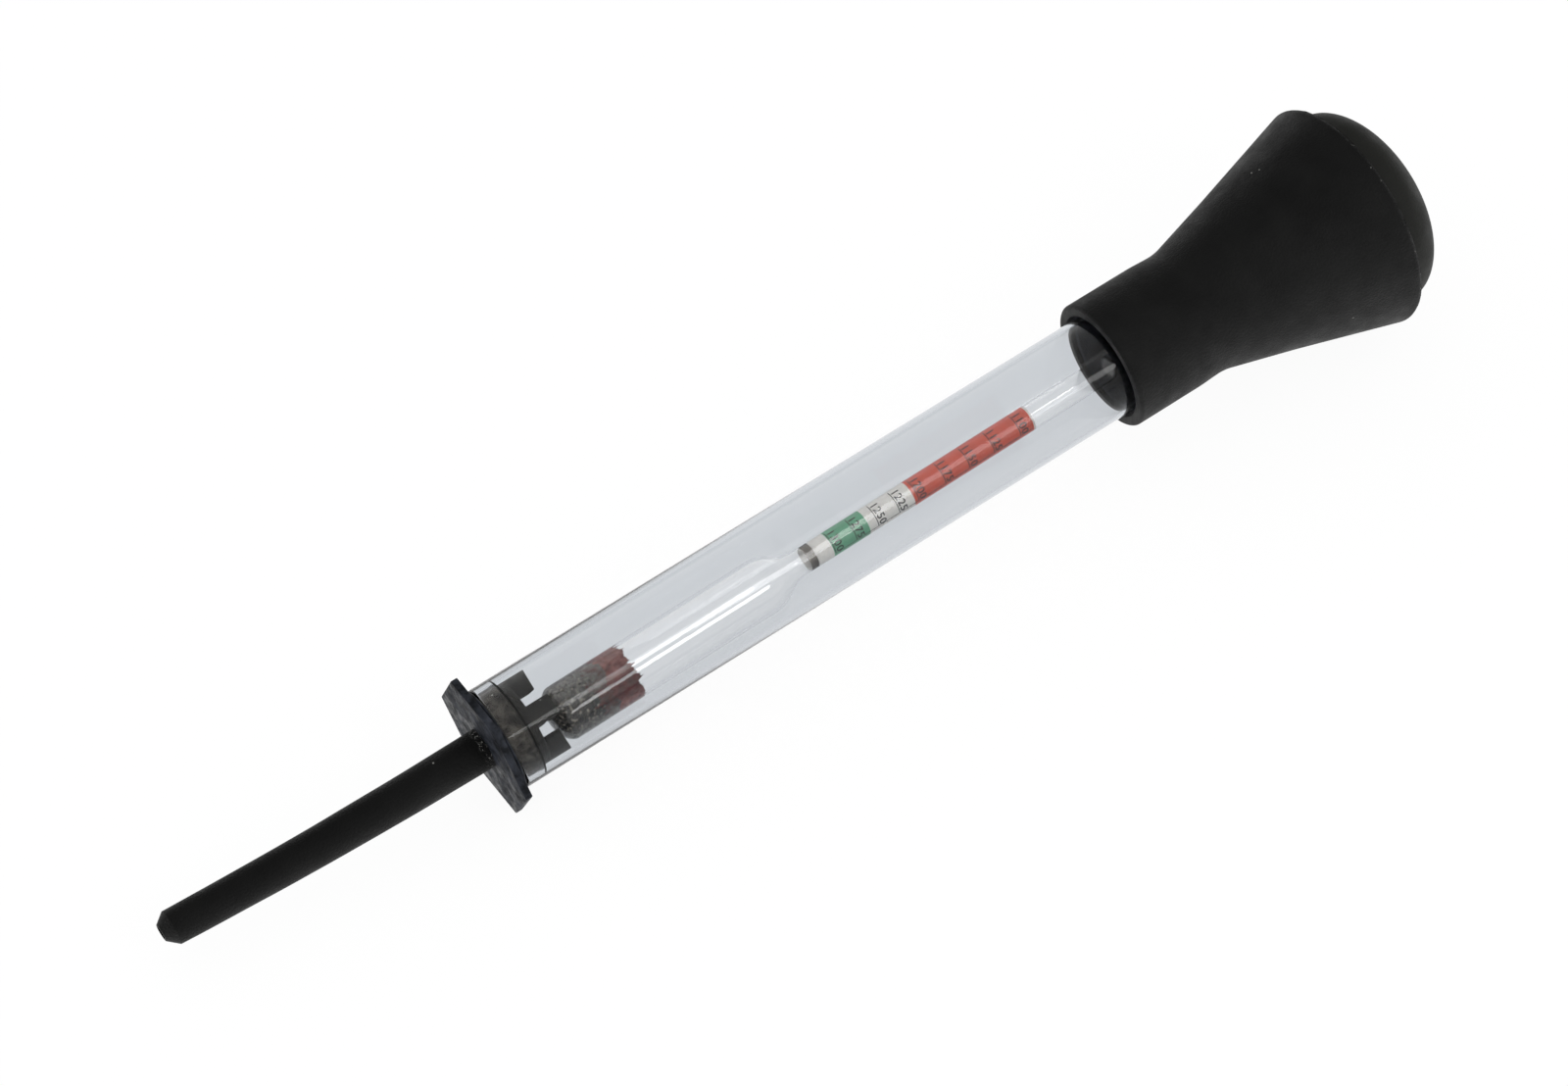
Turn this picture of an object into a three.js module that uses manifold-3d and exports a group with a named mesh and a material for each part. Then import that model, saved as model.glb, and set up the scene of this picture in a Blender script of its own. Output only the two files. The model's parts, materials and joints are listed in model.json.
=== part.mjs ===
// Battery hydrometer: a glass barrel with a float in it, a rubber squeeze bulb on one end and a
// plugged end cap with a rubber dip nozzle on the other. It lies on a flat surface, on its bulb's
// rim and on one flat of the cap's hexagonal flange. Millimetres, +Z up.
//
// Every piece is drawn along one straight barrel axis, local +X from nozzle to bulb, and x = 0 is
// just before the flange. The whole tool is then tilted and set down on z = 0.
import * as THREE from 'three';
import { mergeVertices } from 'three/addons/utils/BufferGeometryUtils.js';
import Module from 'manifold-3d';

const wasm = await Module();
wasm.setup();

// Clearances
const FIT_GAP = 0.15; // between round pieces that share an axis
const FACE_GAP = 0.3; // between faces that meet

// Glass barrel
const BARREL_R = 10;
const BARREL_WALL = 1;
const BARREL_END = 152;
const BORE_R = BARREL_R - BARREL_WALL;
const LIP_R = 0.4; // fire-polished ends

// End cap: hexagonal flange, collar, plug inside the glass, and four fingers that hold up the float
const FLANGE_ACROSS_FLATS = 24.8;
const FLANGE_START = 0.2;
const FLANGE_THICKNESS = 1.4;
const FLANGE_MIDDLE = FLANGE_START + FLANGE_THICKNESS / 2;
const COLLAR_R = 10.35;
const COLLAR_END = 2.7;
const PLUG_R = BORE_R - FIT_GAP;
const PLUG_WAIST_R = PLUG_R - 0.1;
const PLUG_LIP_START = 6.6;
const PLUG_END = 7.2;
const DISC_R = 8.3;
const DISC_END = 9;
const FINGER_COUNT = 4;
const FINGER_WIDTH = 4;
const FINGER_INNER_R = 4;
const FINGER_END = 13.5;
const FINGER_FIRST_ANGLE = 33; // degrees round the axis from +Y towards +Z
const SOCKET_R = 3;
const SOCKET_DEPTH = 6;
const SUCTION_R = 1.25;

// Rubber dip nozzle
const NOZZLE_TIP = -65.2;
const NOZZLE_ROOT_R = 3.87;
const NOZZLE_TIP_R = 3.32;
const NOZZLE_FACE_R = 1.65;
const NOZZLE_CHAMFER = 2;
const NOZZLE_BEND = 2.3; // sideways set of the tip

// Squeeze bulb: neck over the glass, flared cone, and the inset dome
const NECK_START = 136.1;
const NECK_R = 12.8;
const NECK_END = 148;
const WAIST_R = 12.6;
const WAIST_END = 156.5;
const FLARE_MIDDLE = 171.2;
const FLARE_MIDDLE_R = 16.4;
const FLARE_END = 192.1;
const FLARE_END_R = 22.2;
const RIM_R = 22.65;
const RIM_START = 193.4;
const RIM_WIDTH = 2.7;
const RIM_LENGTH = 2.4;
const SEAT_START = 190.7; // the round seat that the dome sinks into when pressed
const CAVITY_R = 9;
const SHOULDER = BARREL_END + FACE_GAP; // stops the glass
const DOME_R = 19.65;
const DOME_CENTRE = 196.3;
const DOME_HEIGHT = 10;
const DOME_SQUARENESS = 2.25; // 2 would be an ellipse
const DOME_WALL = 2.3;
const DOME_SKIRT_START = 195.1;

// Float: sealed glass body and stem
const FLOAT_TIP = 13.8;
const FLOAT_R = 5.5;
const FLOAT_WALL = 0.6;
const FLOAT_NOSE = 2.9;
const FLOAT_BODY_END = 61;
const STEM_START = 67;
const STEM_R = 2.5;
const STEM_WALL = 0.2;
const STEM_END = 139;
const STEM_HOLE_R = 0.35;
const FLOAT_DROP = BORE_R - FLOAT_R - FIT_GAP; // it lies on the bore's lower wall
const FLOAT_SKEW = 0.75; // degrees it lies askew in the bore, about the middle of its body
const FLOAT_MIDDLE = 39;

// What is sealed in the float
const FILL_R = FLOAT_R - FLOAT_WALL - FIT_GAP;
const SHOT_END = 23.6;
const WAX_END = 31.1;
const RING_START = 69.4;
const RING_END = 71;
const RING_WALL = 0.9;
const PAPER_START = RING_END + FACE_GAP;
const PAPER_END = 119.9;
const PAPER_R = STEM_R - STEM_WALL - 0.1;
const PAPER_WALL = 0.15;

const ROUND_SIDES = 48;
const SMALL_SIDES = 24;
const DEGREE = Math.PI / 180;

const rubber = new THREE.MeshStandardMaterial({ color: 0x1d1e1d, roughness: 0.75 });
const dome = new THREE.MeshStandardMaterial({ color: 0x2a2b28, roughness: 0.5 });
const blackPlastic = new THREE.MeshStandardMaterial({ color: 0x34363a, roughness: 0.45 });
const glass = new THREE.MeshStandardMaterial({
  color: 0xdfe6ec,
  roughness: 0.05,
  transparent: true,
  opacity: 0.35,
});
const paper = new THREE.MeshStandardMaterial({ color: 0xe9e7e0, roughness: 0.8 });
const steel = new THREE.MeshStandardMaterial({ color: 0x55504a, roughness: 0.3, metalness: 0.9 });
const leadShot = new THREE.MeshStandardMaterial({ color: 0x6a6258, roughness: 0.7, metalness: 0.3 });
const wax = new THREE.MeshStandardMaterial({ color: 0x8e3325, roughness: 0.6 });

const tool = new THREE.Group();

function addPiece(name, geometry, material) {
  const mesh = new THREE.Mesh(geometry, material);
  mesh.name = name;
  tool.add(mesh);
  return mesh;
}

// Points [x, r] along an ellipse round (centre, 0), from one angle to another, measured from +r to +x.
function ellipse(centre, length, radius, from, to, steps) {
  const points = [];
  for (let i = 0; i <= steps; i += 1) {
    const angle = (from + ((to - from) * i) / steps) * DEGREE;
    points.push([centre + length * Math.sin(angle), radius * Math.cos(angle)]);
  }
  return points;
}

// Points [x, r] along a quarter round with its own centre.
function corner(x, r, radius, from, to, steps = 3) {
  return ellipse(x, radius, radius, from, to, steps).map(([px, pr]) => [px, pr + r]);
}

// Points [x, r] of a dome from its rim to its top.
function domeCurve(length, radius, steps) {
  const power = 2 / DOME_SQUARENESS;
  return ellipse(0, 1, 1, 0, 90, steps).map(([x, r]) => [
    DOME_CENTRE + length * x ** power,
    radius * Math.max(r, 0) ** power,
  ]);
}

// A solid of revolution round local X. The profile runs nozzle to bulb on the outside.
function revolve(profile, sides = ROUND_SIDES) {
  const points = profile.map(([x, r]) => new THREE.Vector2(Math.max(r, 0), x));
  const geometry = new THREE.LatheGeometry(points, sides);
  geometry.rotateZ(-90 * DEGREE);
  return geometry;
}

function tube(start, end, inner, outer, sides = SMALL_SIDES) {
  return revolve([[start, inner], [start, outer], [end, outer], [end, inner], [start, inner]], sides);
}

function toSolid(geometry) {
  const bare = geometry.clone();
  bare.deleteAttribute('normal');
  bare.deleteAttribute('uv');
  const merged = mergeVertices(bare, 1e-4);
  const index = [];
  for (let i = 0; i < merged.index.count; i += 3) {
    const [a, b, c] = [0, 1, 2].map((k) => merged.index.getX(i + k));
    if (a !== b && b !== c && c !== a) index.push(a, b, c);
  }
  return new wasm.Manifold(new wasm.Mesh({
    numProp: 3,
    vertProperties: new Float32Array(merged.attributes.position.array),
    triVerts: new Uint32Array(index),
  }));
}

function toGeometry(solid) {
  const mesh = solid.getMesh();
  const geometry = new THREE.BufferGeometry();
  geometry.setAttribute('position', new THREE.BufferAttribute(new Float32Array(mesh.vertProperties), 3));
  geometry.setIndex(new THREE.BufferAttribute(new Uint32Array(mesh.triVerts), 1));
  geometry.computeVertexNormals();
  return geometry;
}

function makeBarrel() {
  const start = COLLAR_END + FACE_GAP;
  const middle = BARREL_R - LIP_R;
  return revolve([
    [start, BORE_R + LIP_R],
    [start, middle],
    ...corner(start + LIP_R, middle, LIP_R, -90, 0).slice(1),
    ...corner(BARREL_END - LIP_R, middle, LIP_R, 0, 90),
    [BARREL_END, BORE_R + LIP_R],
    [BARREL_END - LIP_R, BORE_R],
    [start + LIP_R, BORE_R],
    [start, BORE_R + LIP_R],
  ]);
}

// A hexagonal plate with one flat straight down.
function makeFlange() {
  const radius = FLANGE_ACROSS_FLATS / 2 / Math.cos(30 * DEGREE);
  const geometry = new THREE.CylinderGeometry(radius, radius, FLANGE_THICKNESS, 6);
  geometry.rotateY(30 * DEGREE);
  geometry.rotateZ(-90 * DEGREE);
  geometry.translate(FLANGE_MIDDLE, 0, 0);
  return geometry;
}

function makeCapBody() {
  return revolve([
    [FLANGE_MIDDLE, 0],
    [FLANGE_MIDDLE, COLLAR_R],
    [COLLAR_END, COLLAR_R],
    [COLLAR_END, PLUG_WAIST_R],
    [PLUG_LIP_START, PLUG_WAIST_R],
    [PLUG_LIP_START, PLUG_R],
    [PLUG_END, PLUG_R],
    [PLUG_END, DISC_R],
    [DISC_END, DISC_R],
    [DISC_END, 0],
  ]);
}

function makeFinger(angle) {
  const length = FINGER_END - PLUG_END;
  const depth = DISC_R + 1 - FINGER_INNER_R;
  const geometry = new THREE.BoxGeometry(length, depth, FINGER_WIDTH);
  geometry.translate(PLUG_END + length / 2, FINGER_INNER_R + depth / 2, 0);
  geometry.rotateX(angle * DEGREE);
  return geometry;
}

function makeEndCap() {
  const round = toSolid(revolve([[0, 0], [0, DISC_R], [FINGER_END, DISC_R], [FINGER_END, 0]]));
  let cap = toSolid(makeFlange()).add(toSolid(makeCapBody()));
  for (let i = 0; i < FINGER_COUNT; i += 1) {
    const angle = FINGER_FIRST_ANGLE + (360 / FINGER_COUNT) * i;
    cap = cap.add(toSolid(makeFinger(angle)).intersect(round));
  }
  const cutter = revolve([
    [-1, 0],
    [-1, SOCKET_R],
    [SOCKET_DEPTH, SOCKET_R],
    [SOCKET_DEPTH, SUCTION_R],
    [DISC_END + 1, SUCTION_R],
    [DISC_END + 1, 0],
  ], SMALL_SIDES);
  return toGeometry(cap.subtract(toSolid(cutter)));
}

// The nozzle has taken a slight sideways set towards its tip.
function bendNozzle(geometry) {
  const position = geometry.attributes.position;
  for (let i = 0; i < position.count; i += 1) {
    const along = Math.max(position.getX(i) / NOZZLE_TIP, 0);
    position.setY(i, position.getY(i) + NOZZLE_BEND * along ** 2);
  }
  return geometry;
}

function makeNozzle() {
  const root = FLANGE_START - FACE_GAP;
  const shaftStart = NOZZLE_TIP + NOZZLE_CHAMFER;
  const shaft = [];
  const bore = [];
  const steps = 8;
  for (let i = 0; i <= steps; i += 1) {
    const part = i / steps;
    shaft.push([
      THREE.MathUtils.lerp(shaftStart, root, part),
      THREE.MathUtils.lerp(NOZZLE_TIP_R, NOZZLE_ROOT_R, part),
    ]);
    bore.push([THREE.MathUtils.lerp(root, NOZZLE_TIP, part), SUCTION_R]);
  }
  const spigotR = SOCKET_R - FIT_GAP;
  const spigotEnd = SOCKET_DEPTH - FACE_GAP;
  return bendNozzle(revolve([
    [NOZZLE_TIP, NOZZLE_FACE_R],
    ...shaft,
    [root, spigotR],
    [spigotEnd, spigotR],
    [spigotEnd, SUCTION_R],
    ...bore,
    [NOZZLE_TIP, NOZZLE_FACE_R],
  ], SMALL_SIDES));
}

function makeBulb() {
  const mouthR = BARREL_R + FIT_GAP;
  const mouthChamfer = 0.6;
  const seatR = RIM_R - RIM_WIDTH;
  return revolve([
    [NECK_START, mouthR],
    [NECK_START, NECK_R - mouthChamfer],
    [NECK_START + mouthChamfer, NECK_R],
    [NECK_END, NECK_R],
    [WAIST_END - 2, WAIST_R],
    [WAIST_END, WAIST_R + 0.1],
    [WAIST_END + 3, WAIST_R + 0.6],
    [FLARE_MIDDLE, FLARE_MIDDLE_R],
    [FLARE_END, FLARE_END_R],
    [RIM_START, RIM_R],
    ...ellipse(RIM_START, RIM_LENGTH, RIM_WIDTH, 25, 80, 3).map(([x, r]) => [x, r + seatR]),
    [RIM_START + RIM_LENGTH, seatR],
    [SEAT_START, seatR],
    [WAIST_END, CAVITY_R],
    [SHOULDER, CAVITY_R],
    [SHOULDER, mouthR],
    [NECK_START, mouthR],
  ]);
}

function makeDome() {
  const innerR = DOME_R - DOME_WALL;
  return revolve([
    [DOME_SKIRT_START, innerR],
    [DOME_SKIRT_START, DOME_R],
    ...domeCurve(DOME_HEIGHT, DOME_R, 9),
    ...domeCurve(DOME_HEIGHT - DOME_WALL, innerR, 7).reverse(),
    [DOME_SKIRT_START, innerR],
  ]);
}

// The glass is open only by a pinhole at the stem's tip, where the real one is melted shut.
function makeFloatGlass() {
  const noseCentre = FLOAT_TIP + FLOAT_NOSE;
  const boreR = FLOAT_R - FLOAT_WALL;
  const stemBore = STEM_R - STEM_WALL;
  const tipLength = 2;
  const tipStart = STEM_END - tipLength;
  const tipWall = 0.5;
  return revolve([
    ...ellipse(noseCentre, FLOAT_NOSE, FLOAT_R, -90, 0, 6),
    [FLOAT_BODY_END, FLOAT_R],
    [FLOAT_BODY_END + 2, FLOAT_R - 0.5],
    [STEM_START - 2, STEM_R + 0.5],
    [STEM_START, STEM_R],
    ...ellipse(tipStart, tipLength, STEM_R, 0, 75, 4),
    [STEM_END, STEM_HOLE_R],
    [STEM_END - tipWall, STEM_HOLE_R],
    ...ellipse(tipStart, tipLength - tipWall, stemBore, 75, 0, 4),
    [STEM_START, stemBore],
    [STEM_START - 2, stemBore + 0.3],
    [FLOAT_BODY_END + 2, boreR - 0.4],
    [FLOAT_BODY_END, boreR],
    ...ellipse(noseCentre, FLOAT_NOSE - FLOAT_WALL, boreR, 0, -90, 6),
  ], SMALL_SIDES);
}

function makeShot() {
  const nose = FLOAT_TIP + FLOAT_NOSE;
  const depth = FLOAT_NOSE - FLOAT_WALL - FIT_GAP;
  const side = [[SHOT_END, FILL_R], [SHOT_END, 0]];
  return revolve([...ellipse(nose, depth, FILL_R, -90, 0, 5), ...side], SMALL_SIDES);
}

function makeWax() {
  const start = SHOT_END + FACE_GAP;
  return revolve([[start, 0], [start, FILL_R], [WAX_END, FILL_R], [WAX_END - 1, 0]], SMALL_SIDES);
}

addPiece('glass_barrel', makeBarrel(), glass);
addPiece('end_cap', makeEndCap(), blackPlastic);
addPiece('nozzle', makeNozzle(), rubber);
addPiece('rubber_bulb', makeBulb(), rubber);
addPiece('bulb_dome', makeDome(), dome);

// The float lies on the bore's lower wall, turned a little about the middle of its body.
const float = new THREE.Group();
float.position.set(FLOAT_MIDDLE, 0, -FLOAT_DROP);
float.rotation.z = FLOAT_SKEW * DEGREE;
tool.add(float);

const floatPieces = [
  addPiece('float_glass', makeFloatGlass(), glass),
  addPiece('ballast_shot', makeShot(), leadShot),
  addPiece('ballast_wax', makeWax(), wax),
  addPiece('scale_ring', tube(RING_START, RING_END, PAPER_R - RING_WALL, PAPER_R), steel),
  addPiece('scale_paper', tube(PAPER_START, PAPER_END, PAPER_R - PAPER_WALL, PAPER_R), paper),
];
for (const piece of floatPieces) {
  piece.position.x = -FLOAT_MIDDLE;
  float.add(piece);
}

// Set down: the flange's lower flat touches at its nozzle side, and the bulb's rim where it is widest.
const restAngle = Math.atan2(RIM_R - FLANGE_ACROSS_FLATS / 2, RIM_START - FLANGE_START);
tool.rotation.y = -restAngle;
tool.updateMatrixWorld(true);

const bounds = new THREE.Box3().setFromObject(tool, true);
const centre = bounds.getCenter(new THREE.Vector3());
tool.position.set(-centre.x, -centre.y, -bounds.min.z);

const hydrometer = new THREE.Group();
hydrometer.add(tool);
hydrometer.updateMatrixWorld(true);

export default hydrometer;
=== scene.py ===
"""Battery hydrometer, lying on a pale floor: glass barrel, float, squeeze bulb, end cap and nozzle.

Every piece is modelled along the barrel's own axis in millimetres: x runs from nozzle to bulb with 0 just
before the cap's flange, and y and z are across. An angle round the axis is in degrees from +y towards
+z. `along_barrel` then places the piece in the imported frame, and `along_float` does so for the float.
"""
import json
import math

import bmesh
import bpy
from mathutils import Matrix, Vector, noise


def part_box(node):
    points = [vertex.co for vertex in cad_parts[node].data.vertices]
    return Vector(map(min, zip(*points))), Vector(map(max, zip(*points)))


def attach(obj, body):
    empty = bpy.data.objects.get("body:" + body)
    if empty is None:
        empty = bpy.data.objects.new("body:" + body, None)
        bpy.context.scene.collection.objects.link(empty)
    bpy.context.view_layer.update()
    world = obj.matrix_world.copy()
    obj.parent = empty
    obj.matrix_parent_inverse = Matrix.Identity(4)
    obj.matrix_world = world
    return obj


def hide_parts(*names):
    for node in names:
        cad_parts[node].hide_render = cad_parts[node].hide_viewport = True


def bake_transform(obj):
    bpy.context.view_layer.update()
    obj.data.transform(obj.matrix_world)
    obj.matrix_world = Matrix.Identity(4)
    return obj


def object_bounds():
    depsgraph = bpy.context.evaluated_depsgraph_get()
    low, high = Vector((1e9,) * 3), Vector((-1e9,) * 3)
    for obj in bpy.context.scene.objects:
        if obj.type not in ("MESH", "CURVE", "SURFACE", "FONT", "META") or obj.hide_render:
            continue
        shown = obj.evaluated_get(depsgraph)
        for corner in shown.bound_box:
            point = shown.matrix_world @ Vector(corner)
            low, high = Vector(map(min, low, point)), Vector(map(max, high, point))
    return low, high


MM = 0.001
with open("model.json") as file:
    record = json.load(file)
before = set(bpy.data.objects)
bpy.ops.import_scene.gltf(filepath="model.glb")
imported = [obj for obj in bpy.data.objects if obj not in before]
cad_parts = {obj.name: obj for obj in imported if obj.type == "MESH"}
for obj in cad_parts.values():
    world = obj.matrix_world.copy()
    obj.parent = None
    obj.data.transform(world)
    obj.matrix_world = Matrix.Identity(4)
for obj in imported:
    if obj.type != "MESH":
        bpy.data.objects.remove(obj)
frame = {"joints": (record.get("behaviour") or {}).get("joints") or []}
cad_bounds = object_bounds()

# Barrel and what fits it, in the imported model's sizes or within a millimetre of them
BARREL_R, BORE_R = 10.0, 9.0
BARREL_START, BARREL_END = 3.0, 152.0
FLANGE_ACROSS_FLATS, FLANGE_START, FLANGE_END = 24.8, 0.2, 1.6
COLLAR_R, COLLAR_END = 10.35, 2.7
PLUG_R, PLUG_END = 8.85, 7.2
DISC_R, DISC_END = 8.3, 9.0
FINGER_COUNT, FINGER_FIRST_ANGLE = 4, 33
FINGER_WIDTH, FINGER_INNER_R, FINGER_END = 4.0, 4.0, 13.5
SUCTION_R = 1.25

NOZZLE_TIP, NOZZLE_TIP_R, NOZZLE_ROOT_R = -64.8, 3.32, 3.87
NOZZLE_FACE_R, NOZZLE_CHAMFER = 1.65, 2.0
NOZZLE_BEND = 2.5

NECK_START, NECK_R, NECK_BEND = 136.3, 12.8, 151.0
WAIST, WAIST_R = 156.9, 12.5
FLARE_MIDDLE, FLARE_MIDDLE_R = 171.7, 16.5
LEDGE, RIM_CORNER_R, RIM_ROUND, RIM_INSET = 194.3, 23.02, 1.1, 0.373
FLASH_PLACE = 0.75
SEAT_START, SEAT_R = 190.7, 19.95
CAVITY_START, CAVITY_R = 156.5, 9.0
DOME_R, DOME_CENTRE, DOME_HEIGHT, DOME_WALL = 19.88, 196.4, 9.55, 2.3
DOME_SKIRT_START = 192.0

FLOAT_R, FLOAT_WALL, FLOAT_TIP, FLOAT_NOSE = 5.5, 0.6, 13.8, 2.9
FLOAT_BODY_END, STEM_START, STEM_R, STEM_WALL, STEM_END = 61.0, 67.0, 2.5, 0.2, 139.9
FLOAT_DROP, FLOAT_SKEW, FLOAT_MIDDLE = 3.35, 0.75, 39.0
SHOT_END, WAX_END = 23.6, 30.4
FILL_R = FLOAT_R - FLOAT_WALL + 0.2  # shot and wax reach a little into the glass, so it magnifies them
RING_START, RING_END, RING_BORE_R = 69.4, 71.0, 2.25
PAPER_START, PAPER_END, PAPER_R = 71.2, 119.9, 2.36

# The paper's bands, each from where the last one ends, and the places of its numbered lines
BANDS = (("white", 74.4), ("green", 82.4), ("white", 92.5), ("red", 119.5), ("white", PAPER_END))
SCALE_LINES = {
    1300: 74.6, 1275: 79.3, 1250: 84.2, 1225: 88.9, 1200: 93.2,
    1175: 99.3, 1150: 104.8, 1125: 110.4, 1100: 116.4,
}
PRINT_ANGLE = 125.0
DIGIT_HEIGHT, PRINT_REACH = 1.55, 62.0

# The view: from the nozzle's side, high above the floor, with the camera rolled a little
VIEW_AZIMUTH, VIEW_ELEVATION, VIEW_DISTANCE = -29.5, 50.62, 0.82
AXIS_SLOPE = 31.65
VIEW_AIM = (66.9, 2.96)
VIEW_LENS, SENSOR_WIDTH = 104.25, 36.0
WORLD_REFLECTED, WORLD_THROUGH_GLASS = 0.25, 2.0


# ---------------------------------------------------------------- placing

def barrel_matrix():
    """The barrel's own axes: x along the joint's axis, through the middle of the glass tube."""
    slide = next(j for j in frame["joints"] if j["name"] == "float_rise")
    along = Vector(slide["axis"]).normalized()
    across = Vector((0, 1, 0))
    up = along.cross(across)
    low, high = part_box("glass_barrel")
    origin = (low + high) / 2 - along * (BARREL_START + BARREL_END) / 2 * MM
    axes = Matrix((along, across, up)).transposed().to_4x4()
    return Matrix.Translation(origin) @ axes


def float_matrix():
    """The float lies on the bore's lower wall, turned a little about the middle of its body."""
    middle = Vector((FLOAT_MIDDLE, 0, 0)) * MM
    turn = Matrix.Rotation(math.radians(FLOAT_SKEW), 4, "Z")
    drop = Matrix.Translation((0, 0, -FLOAT_DROP * MM))
    return along_barrel @ drop @ Matrix.Translation(middle) @ turn @ Matrix.Translation(-middle)


along_barrel = barrel_matrix()
barrel_axis = along_barrel.to_3x3().col[0].copy()
along_float = float_matrix()


def finish_piece(piece, material, body, nodes=(), place=along_barrel):
    """Puts a piece made in the barrel's millimetres into the frame, on its body, for its CAD nodes."""
    piece.data.transform(place @ Matrix.Scale(MM, 4))
    if material is not None:
        piece.data.materials.clear()
        piece.data.materials.append(material)
    if body:
        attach(piece, body)
    if nodes:
        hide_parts(*nodes)
    return piece


def link(name, mesh):
    piece = bpy.data.objects.new(name, mesh)
    bpy.context.scene.collection.objects.link(piece)
    return piece


def mesh_object(name, vertices, faces, sharp=40):
    mesh = bpy.data.meshes.new(name)
    mesh.from_pydata([tuple(v) for v in vertices], [], faces)
    mesh.validate()
    piece = link(name, mesh)
    shade(piece, sharp)
    return piece


def shape_object(name, shape, sharp=40):
    """An object from a bmesh, which is used up."""
    mesh = bpy.data.meshes.new(name)
    shape.to_mesh(mesh)
    shape.free()
    piece = link(name, mesh)
    shade(piece, sharp)
    return piece


def shade(piece, sharp=40):
    """Smooth shading with edges sharper than this many degrees left crisp."""
    mesh = piece.data
    mesh.polygons.foreach_set("use_smooth", [True] * len(mesh.polygons))
    mesh.set_sharp_from_angle(angle=math.radians(sharp))
    mesh.update()


def outward(piece):
    shape = bmesh.new()
    shape.from_mesh(piece.data)
    bmesh.ops.recalc_face_normals(shape, faces=shape.faces)
    if shape.calc_volume(signed=True) < 0:
        bmesh.ops.reverse_faces(shape, faces=shape.faces)
    shape.to_mesh(piece.data)
    shape.free()


def combine(base, other, operation):
    """Joins or cuts two closed pieces into one, and removes the second."""
    modifier = base.modifiers.new("combine", "BOOLEAN")
    modifier.operation = operation
    modifier.solver = "EXACT"
    modifier.object = other
    graph = bpy.context.evaluated_depsgraph_get()
    result = bpy.data.meshes.new_from_object(base.evaluated_get(graph))
    base.modifiers.clear()
    base.data = result
    bpy.data.objects.remove(other)
    return base


def gather(name, pieces):
    """Puts several closed pieces into one mesh object."""
    shape = bmesh.new()
    for piece in pieces:
        shape.from_mesh(piece.data)
        bpy.data.objects.remove(piece)
    return shape_object(name, shape)


# ---------------------------------------------------------------- outlines

def ellipse(centre, length, radius, start, end, steps=16):
    """Points (x, r) of an ellipse about (centre, 0), by angle from +r towards +x in degrees."""
    points = []
    for i in range(steps + 1):
        angle = math.radians(start + (end - start) * i / steps)
        points.append((centre + length * math.sin(angle), radius * math.cos(angle)))
    return points


def straight(first, last, steps):
    """Points from one (x, r) to another, both included."""
    return [tuple(Vector(first).lerp(Vector(last), i / steps)) for i in range(steps + 1)]


def soften(corners, steps=6):
    """An outline from (x, r) or (x, r, round) corners, with each round corner drawn as an arc."""
    points = []
    count = len(corners)
    for i, corner in enumerate(corners):
        here = Vector(corner[:2])
        radius = corner[2] if len(corner) > 2 else 0
        if not radius:
            points.append(tuple(here))
            continue
        before = (Vector(corners[i - 1][:2]) - here).normalized()
        after = (Vector(corners[(i + 1) % count][:2]) - here).normalized()
        half = before.angle(after) / 2
        reach = radius / math.tan(half)
        centre = here + (before + after).normalized() * radius / math.sin(half)
        first = here + before * reach - centre
        last = here + after * reach - centre
        start = math.atan2(first.y, first.x)
        sweep = (math.atan2(last.y, last.x) - start + math.pi) % (2 * math.pi) - math.pi
        for k in range(steps + 1):
            angle = start + sweep * k / steps
            points.append((centre.x + radius * math.cos(angle), centre.y + radius * math.sin(angle)))
    return points


def round_point(x, r, angle):
    """A point at this radius and angle round the axis."""
    turn = math.radians(angle)
    return Vector((x, r * math.cos(turn), r * math.sin(turn)))


def revolve(name, outline, sides=128, closed=True, sharp=40):
    """A solid of revolution about x. Points at r = 0 become poles; a closed outline joins its ends."""
    vertices, faces, rings = [], [], []
    for x, r in outline:
        if r < 1e-6:
            rings.append([len(vertices)])
            vertices.append((x, 0, 0))
            continue
        rings.append(list(range(len(vertices), len(vertices) + sides)))
        vertices += [round_point(x, r, 360 * k / sides) for k in range(sides)]
    pairs = list(zip(rings, rings[1:]))
    if closed:
        pairs.append((rings[-1], rings[0]))
    for a, b in pairs:
        for k in range(sides):
            n = (k + 1) % sides
            if len(a) == 1 and len(b) > 1:
                faces.append((a[0], b[n], b[k]))
            elif len(b) == 1 and len(a) > 1:
                faces.append((a[k], a[n], b[0]))
            elif len(a) > 1:
                faces.append((a[k], a[n], b[n], b[k]))
    piece = mesh_object(name, vertices, faces, sharp)
    outward(piece)
    return piece


# ---------------------------------------------------------------- materials

MIX_FIRST, MIX_SECOND, MIX_RESULT = 6, 7, 2  # a Mix node's colour sockets


def new_material(name, **values):
    """A Principled material with these constant inputs."""
    material = bpy.data.materials.new(name)
    material.use_nodes = True
    shader = material.node_tree.nodes["Principled BSDF"]
    for socket, value in values.items():
        shader.inputs[socket.replace("_", " ")].default_value = value
    return material, material.node_tree, shader


def feed(tree, value, socket):
    if isinstance(value, bpy.types.NodeSocket):
        tree.links.new(value, socket)
    else:
        socket.default_value = value


def add(tree, kind, **inputs):
    node = tree.nodes.new(kind)
    for name, value in inputs.items():
        feed(tree, value, node.inputs[name.replace("_", " ")])
    return node


def calculate(tree, operation, first, second=0.0):
    node = tree.nodes.new("ShaderNodeMath")
    node.operation = operation
    feed(tree, first, node.inputs[0])
    feed(tree, second, node.inputs[1])
    return node.outputs["Value"]


def vector_maths(tree, operation, first, second=(0, 0, 0)):
    node = tree.nodes.new("ShaderNodeVectorMath")
    node.operation = operation
    feed(tree, first, node.inputs[0])
    feed(tree, second, node.inputs[1])
    return node


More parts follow.
